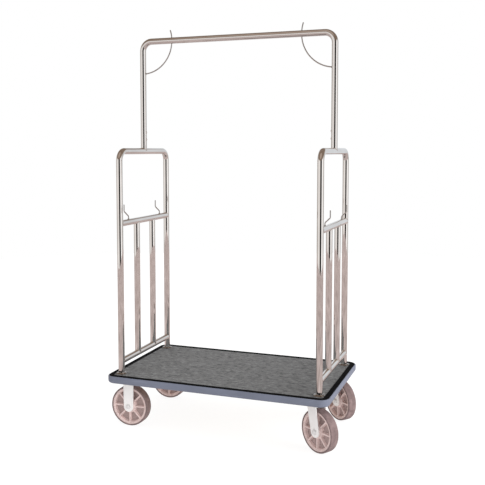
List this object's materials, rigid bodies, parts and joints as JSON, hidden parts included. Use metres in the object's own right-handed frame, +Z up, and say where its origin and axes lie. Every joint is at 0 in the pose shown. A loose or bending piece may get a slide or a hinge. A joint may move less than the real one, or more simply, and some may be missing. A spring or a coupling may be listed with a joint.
{
  "type": "hotel luggage cart",
  "caption": "Hotel luggage cart: carpeted deck with bumper on rigid and swivel casters, railed tube frame at each end and an arched hanger bar with hooks.",
  "frame": {"origin": "on the floor, under the middle of the deck", "axes": "+X along the deck towards the swivel casters, +Y to the rear long side, +Z up"},
  "size_m": [1.1918, 0.673, 2.0192],
  "materials": {
    "polished_tube": "mirror-polished stainless tube",
    "hook_wire": "polished stainless wire",
    "polished_fittings": "polished flanges and screw heads",
    "carpet": "low grey carpet pile",
    "edge_moulding": "black extruded moulding, half gloss",
    "bumper": "blue-grey vinyl, satin",
    "board": "sealed plywood",
    "steel_plate": "plain steel plate",
    "zinc_fork": "bright zinc plate",
    "zinc_fastener": "zinc plated fasteners",
    "wheel_core": "moulded light warm grey",
    "tyre": "warm grey non-marking tread",
    "bearing": "ground steel"
  },
  "bodies": {
    "cart": {"bumper": "bumper", "caster_bolts": "zinc_fastener", "deck_board": "board", "deck_carpet": "carpet", "edge_moulding": "edge_moulding", "end_plate_screws": "zinc_fastener", "floor_flange_screws": "polished_fittings", "floor_flanges": "polished_fittings", "front_kingpin": "steel_plate", "front_rigid_fork": "zinc_fork", "front_swivel_plate": "zinc_fork", "hanger_bar": "polished_tube", "hanger_screws": "polished_fittings", "hanger_spigots": "steel_plate", "left_end_plate": "steel_plate", "left_front_spindle": "polished_tube", "left_garment_hook": "hook_wire", "left_hoop": "polished_tube", "left_low_rail": "polished_tube", "left_mid_rail": "polished_tube", "left_rail_hooks": "hook_wire", "left_rear_spindle": "polished_tube", "rear_kingpin": "steel_plate", "rear_rigid_fork": "zinc_fork", "rear_swivel_plate": "zinc_fork", "right_end_plate": "steel_plate", "right_front_spindle": "polished_tube", "right_garment_hook": "hook_wire", "right_hoop": "polished_tube", "right_low_rail": "polished_tube", "right_mid_rail": "polished_tube", "right_rail_hooks": "hook_wire", "right_rear_spindle": "polished_tube", "rigid_axle_fasteners": "zinc_fastener", "rigid_axle_sleeves": "bearing", "upright_bolts": "zinc_fastener", "upright_plugs": "steel_plate"},
    "front_swivel": {"front_swivel_fork": "zinc_fork", "front_swivel_race": "zinc_fork", "front_race_balls": "bearing", "front_swivel_sleeve": "bearing", "front_swivel_axle_fasteners": "zinc_fastener"},
    "rear_swivel": {"rear_swivel_fork": "zinc_fork", "rear_swivel_race": "zinc_fork", "rear_race_balls": "bearing", "rear_swivel_sleeve": "bearing", "rear_swivel_axle_fasteners": "zinc_fastener"},
    "left_front_wheel": {"left_front_wheel_core": "wheel_core", "left_front_tyre": "tyre", "left_front_wheel_bearing": "bearing"},
    "left_rear_wheel": {"left_rear_wheel_core": "wheel_core", "left_rear_tyre": "tyre", "left_rear_wheel_bearing": "bearing"},
    "right_front_wheel": {"right_front_wheel_core": "wheel_core", "right_front_tyre": "tyre", "right_front_wheel_bearing": "bearing"},
    "right_rear_wheel": {"right_rear_wheel_core": "wheel_core", "right_rear_tyre": "tyre", "right_rear_wheel_bearing": "bearing"}
  },
  "joints": [
    {"name": "left_front_roll", "type": "hinge", "parent": "cart", "child": "left_front_wheel", "pos_m": [-0.479, -0.231, 0.1016], "axis": [0, 1, 0], "continuous": true},
    {"name": "left_rear_roll", "type": "hinge", "parent": "cart", "child": "left_rear_wheel", "pos_m": [-0.479, 0.231, 0.1016], "axis": [0, 1, 0], "continuous": true},
    {"name": "front_swivel_turn", "type": "hinge", "parent": "cart", "child": "front_swivel", "pos_m": [0.479, -0.231, 0.22], "axis": [0, 0, 1], "continuous": true},
    {"name": "right_front_roll", "type": "hinge", "parent": "front_swivel", "child": "right_front_wheel", "pos_m": [0.5145, -0.25344, 0.1016], "axis": [0.5344, 0.8453, 0], "continuous": true},
    {"name": "rear_swivel_turn", "type": "hinge", "parent": "cart", "child": "rear_swivel", "pos_m": [0.479, 0.231, 0.22], "axis": [0, 0, 1], "continuous": true},
    {"name": "right_rear_roll", "type": "hinge", "parent": "rear_swivel", "child": "right_rear_wheel", "pos_m": [0.51122, 0.20406, 0.1016], "axis": [0.6414, 0.7672, 0], "continuous": true}
  ]
}
